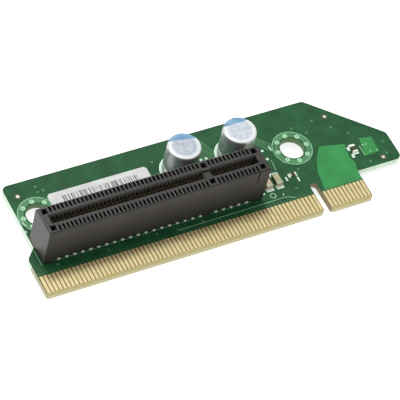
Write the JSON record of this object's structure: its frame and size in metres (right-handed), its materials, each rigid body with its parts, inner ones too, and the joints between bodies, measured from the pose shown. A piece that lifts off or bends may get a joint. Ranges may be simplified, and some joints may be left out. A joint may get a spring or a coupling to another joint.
{
  "type": "pcie riser card",
  "caption": "Flat green server riser board with a notched gold card edge, an upright card slot, two round capacitors, chip parts, a paper label and two mounting holes.",
  "frame": {"origin": "component face of the board, on the card edge line, in the middle of the key notch", "axes": "+X along the card edge towards the bracket end, +Y from the card edge into the board, +Z out of the component face"},
  "size_m": [0.0966, 0.0312, 0.0143],
  "materials": {
    "laminate": "green solder mask over glass-epoxy laminate",
    "gold_pads": "gold plate over copper",
    "moulding": "satin black glass-filled moulding",
    "spring_metal": "plated spring bronze",
    "can_metal": "satin drawn can",
    "bung_rubber": "plain rubber",
    "tinned_wire": "tinned",
    "capacitor_ceramic": "fired ceramic",
    "resistor_glass": "dark glaze",
    "tin_ends": "matt tin",
    "label_paper": "coated paper"
  },
  "bodies": {
    "root": {"circuit_board": "laminate", "fingers_component_long": "gold_pads", "fingers_component_short": "gold_pads", "fingers_solder_long": "gold_pads", "fingers_solder_short": "gold_pads", "slot_housing": "moulding", "contacts_front_long": "spring_metal", "contacts_front_short": "spring_metal", "contacts_rear_long": "spring_metal", "contacts_rear_short": "spring_metal", "capacitor_1_can": "can_metal", "capacitor_2_can": "can_metal", "capacitor_1_bung": "bung_rubber", "capacitor_2_bung": "bung_rubber", "capacitor_1_leads": "tinned_wire", "capacitor_2_leads": "tinned_wire", "chip_capacitor_1_body": "capacitor_ceramic", "chip_capacitor_2_body": "capacitor_ceramic", "chip_capacitor_1_ends": "tin_ends", "chip_capacitor_2_ends": "tin_ends", "chip_resistor_1_body": "resistor_glass", "chip_resistor_2_body": "resistor_glass", "chip_resistor_1_ends": "tin_ends", "chip_resistor_2_ends": "tin_ends", "barcode_label": "label_paper"}
  },
  "joints": []
}
